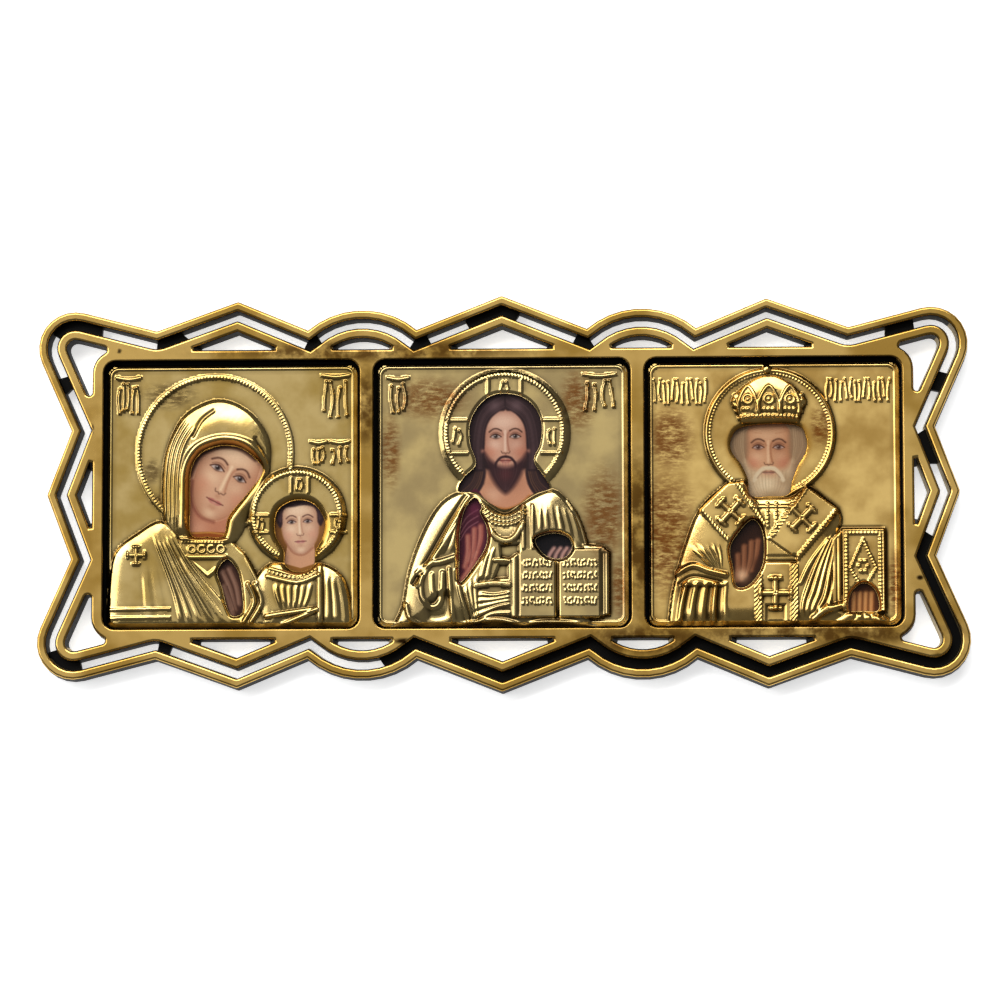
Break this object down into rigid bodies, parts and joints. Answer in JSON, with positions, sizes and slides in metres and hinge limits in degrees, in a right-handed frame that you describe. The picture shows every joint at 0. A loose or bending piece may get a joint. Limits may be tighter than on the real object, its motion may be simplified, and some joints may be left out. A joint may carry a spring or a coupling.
{
  "type": "triptych icon plaque",
  "caption": "Flat openwork plaque with a zigzag and scalloped double border, holding embossed gilt covers side by side over printed icon cards.",
  "frame": {"origin": "middle of the flat back plane, under the centre of the plaque as it lies on its back", "axes": "+X along the plaque's length, to the right as seen from the front; +Y to the top of the pictures; +Z out of the front"},
  "size_m": [0.13, 0.0556, 0.0034],
  "materials": {
    "frame_gilt_black": "black moulded plastic, its front faces satin gold",
    "cover_foil_left": "bright embossed gilt foil",
    "cover_foil_centre": "bright embossed gilt foil",
    "cover_foil_right": "bright embossed gilt foil, a little yellower",
    "print_left": "printed card",
    "print_centre": "printed card",
    "print_right": "printed card"
  },
  "bodies": {
    "root": {"frame": "frame_gilt_black", "cover_left": "cover_foil_left", "cover_centre": "cover_foil_centre", "cover_right": "cover_foil_right", "print_left": "print_left", "print_centre": "print_centre", "print_right": "print_right"}
  },
  "joints": []
}
